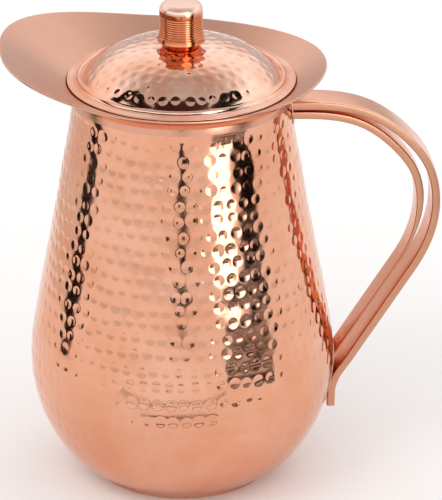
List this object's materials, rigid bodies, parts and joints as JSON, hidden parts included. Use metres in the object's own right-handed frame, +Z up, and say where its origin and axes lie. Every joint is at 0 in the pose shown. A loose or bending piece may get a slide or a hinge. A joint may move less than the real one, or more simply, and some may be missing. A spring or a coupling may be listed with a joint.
{
  "type": "water jug",
  "caption": "Hammered copper water jug with a flared pouring collar, a twin-bar handle and a lift-off domed lid with a turned knob.",
  "frame": {"origin": "centre of the foot ring, on the plane the jug stands on", "axes": "+Z up along the jug's axis, -X towards the pouring lip, +X towards the handle"},
  "size_m": [0.217, 0.1512, 0.2479],
  "materials": {
    "hammered_copper": "polished",
    "satin_copper": "satin",
    "handle_copper": "satin",
    "turned_copper": "polished",
    "screw_steel": "satin",
    "solder": "satin"
  },
  "bodies": {
    "jug": {"body_shell": "hammered_copper", "foot_ring": "satin_copper", "base_plate": "satin_copper", "rim_collar": "satin_copper", "handle_outer_bar": "handle_copper", "handle_inner_bar": "handle_copper", "handle_top_solder": "solder", "handle_foot_solder": "solder"},
    "lid": {"lid_dome": "hammered_copper", "lid_locating_ring": "satin_copper", "lid_knob": "turned_copper", "knob_washer": "screw_steel", "knob_screw": "screw_steel"}
  },
  "joints": [
    {"name": "lid_lift", "type": "slide", "parent": "jug", "child": "lid", "axis": [0, 0, 1], "range_m": [0, 0.06]}
  ]
}
